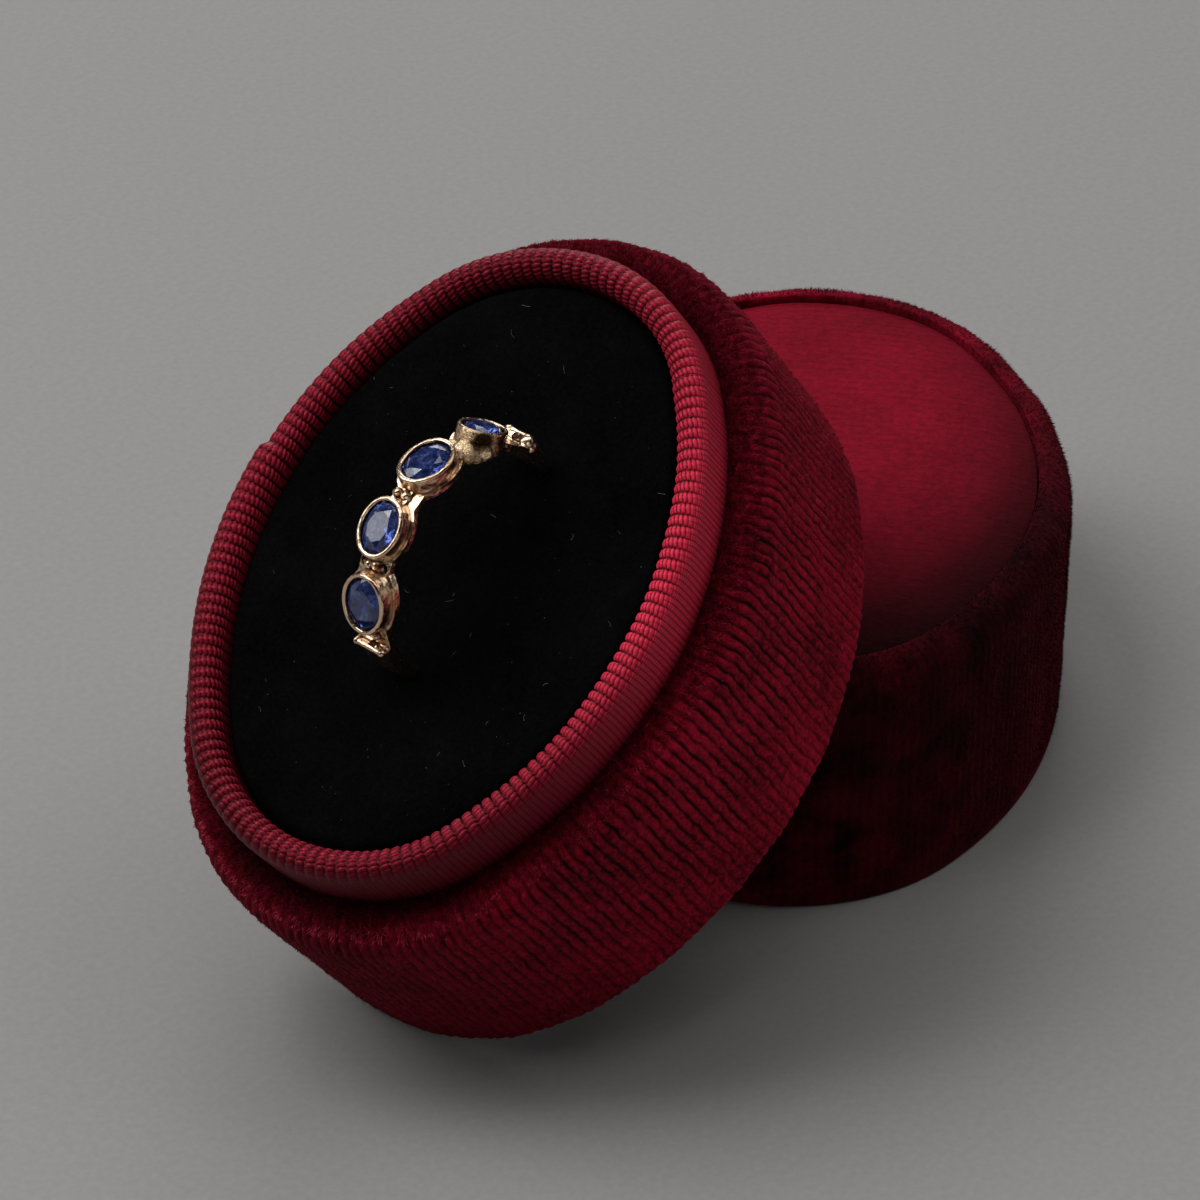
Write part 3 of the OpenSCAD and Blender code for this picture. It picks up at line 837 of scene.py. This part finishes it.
SEAM_IN, LID_FOOT = 2.66, 0.3
lid_path = path(
    line((-SEAM_IN, LID_H - 1.4), (-SEAM_IN, LID_H - 0.2), 0.3),
    arc((-LID_ROUND, LID_H - LID_ROUND), LID_ROUND, 86, 0, 0.3),
    line((0, LID_H - LID_ROUND), (0, LID_FOOT), 0.6),
    arc((-LID_FOOT, LID_FOOT), LID_FOOT, 0, -90, 0.15),
    line((-LID_FOOT, 0), (-LID_ROUND, 0), 1.0),
)
lid_girth = girth_of(LID_OVAL)


def lid_rib(s, u):
    return s / lid_girth * LID_RIBS + 0.15 * waves(s, u, 50, 8)


def lid_height(s, u):
    rib = np.abs(np.sin(math.pi * lid_rib(s, u))) ** 0.8
    wall = np.clip((u - 1.2) / 2.0, 0, 1) * np.clip((24 - u) / 2, 0, 1)
    return (rib - 0.6) * 0.08 * wall + wall * (0.08 + 0.08 * waves(s, u, 51, 9) + 0.05 * waves(s, u, 52, 3))


def lid_pile_length(s, u):
    return 0.3 + 0 * u


def lid_pile_lean(s, u):
    return 0.7 * waves(s, u, 53, 10), 0.8 + 0.9 * waves(s, u, 54, 8), 0.35 + 0 * u


def lid_pile_tone(s, u):
    """Painted light on the top edge at the far end, and painted shade there at the near end."""
    top_edge = 0.6 * np.clip((6.5 - u) / 3, 0, 1)
    return 0.3 + 0.3 * waves(s, u, 55, 5) + top_edge * np.cos(way_round(s, lid_girth))


def lid_pile_keep(s, u):
    return 1 + 0 * u


lid_sweep = Sweep(LID_OVAL, lid_path, LID_RIBS * 4, lid_height, LID, lid_rib)
lid_velvet = lid_sweep.skin("lid_velvet", LID_RED)
lid_pile = pile(
    "lid_pile", lid_sweep, count=110000, u_range=(0.8, 24.0), length=lid_pile_length, width=0.075,
    lean=lid_pile_lean, material=LID_PILE, tone=lid_pile_tone, keep=lid_pile_keep,
)

# The lid's padded panel and its dark hollow

PANEL_CROWN, PANEL_RIB = 1.4, 0.8


def panel_height(x, y, share):
    rib = np.abs(np.sin(math.pi * y / PANEL_RIB)) ** 0.8 - 0.6
    return LID_H - 0.8 + PANEL_CROWN * (1 - share ** 5) + 0.03 * rib + 0.05 * waves(x, y, 61, 7)


lid_panel = disc("lid_panel_velvet", PANEL_OVAL, 90, 300, panel_height, LID, PANEL)
lining_path = path(line((1.6, 0.02), (0, 0.02), 0.8), line((0, 0.02), (0, CEILING_Z), 2.0))
lid_lining = Sweep(HOLLOW_OVAL, lining_path, 160, flat, LID).skin("lid_lining", LINING)
lid_ceiling = disc("lid_ceiling", HOLLOW_OVAL, 3, 160, level(CEILING_Z), LID, LINING, flip=True)

# What each piece rides on and stands for

for thing in (base_velvet, base_pile, base_board, ribbon, pad, lint,
              lid_velvet, lid_pile, lid_panel, lid_lining, lid_ceiling):
    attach(thing, "root")
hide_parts("box_base")
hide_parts("ribbon_collar")
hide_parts("ring_pad")
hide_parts("lid_wall")
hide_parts("lid_panel")

# Floor, light and camera, in metres, degrees and watts

FLOOR_HALF = 4
ROOM_GREY, ROOM_LIGHT = 0.5, 0.02
# Soft square lamps round the set, all aimed at it: azimuth, elevation, power
LAMPS = [
    (135, 60, 3.3),
    (135, 35, 1.6),
    (45, 35, 1.9),
    (0, 90, 1.05),
    (315, 60, 1.0),
    (225, 12, 0.55),
    (315, 12, 0.24),
]
LAMP_SIZE, LAMP_DISTANCE = 0.45, 0.9
# Where the camera stands, the azimuth it looks along, how far it looks down, and its lens and film width
CAMERA_AT, CAMERA_AZIMUTH, CAMERA_DOWN = (-0.24759, -0.22091, 0.24458), 42.41, 34.16
LENS_MM, FILM_MM = 148.6, 36


def direction(azimuth, elevation):
    t, e = math.radians(azimuth), math.radians(elevation)
    return Vector((math.cos(t) * math.cos(e), math.sin(t) * math.cos(e), math.sin(e)))


def aim(thing, way):
    thing.rotation_euler = way.to_track_quat("-Z", "Y").to_euler()


def floor_cloth():
    m = Nodes("floor")
    m.set(Roughness=0.9, Specular_IOR_Level=0.2)
    grain = m.noise(m.place(), 1500, 3, 0.6)
    return m.finish(m.ramp(grain, [(0.3, (0.33, 0.322, 0.315)), (0.7, (0.36, 0.352, 0.345))]))


def add_floor():
    mesh = bpy.data.meshes.new("floor")
    corners = [(x * FLOOR_HALF, y * FLOOR_HALF, 0) for x, y in ((-1, -1), (1, -1), (1, 1), (-1, 1))]
    mesh.from_pydata(corners, [], [(0, 1, 2, 3)])
    mesh.materials.append(floor_cloth())
    floor = bpy.data.objects.new("floor", mesh)
    bpy.context.collection.objects.link(floor)
    return floor


def add_room():
    world = bpy.data.worlds.new("soft room")
    bpy.context.scene.world = world
    world.use_nodes = True
    background = world.node_tree.nodes["Background"]
    background.inputs[0].default_value = (*grey(ROOM_GREY), 1)
    background.inputs[1].default_value = ROOM_LIGHT


def add_lamp(azimuth, elevation, watts):
    light = bpy.data.lights.new("lamp", "AREA")
    light.size = LAMP_SIZE
    light.energy = watts
    lamp = bpy.data.objects.new("lamp", light)
    lamp.location = direction(azimuth, elevation) * LAMP_DISTANCE
    aim(lamp, -lamp.location)
    bpy.context.collection.objects.link(lamp)


def add_camera():
    camera = bpy.data.objects.new("camera", bpy.data.cameras.new("camera"))
    bpy.context.collection.objects.link(camera)
    camera.location = CAMERA_AT
    aim(camera, direction(CAMERA_AZIMUTH, -CAMERA_DOWN))
    camera.data.lens = LENS_MM
    camera.data.sensor_width = FILM_MM
    camera.data.clip_start = 0.01
    return camera


floor = add_floor()
add_room()
for row in LAMPS:
    add_lamp(*row)
bpy.context.scene.view_settings.view_transform = "Standard"
bpy.context.scene.camera = add_camera()
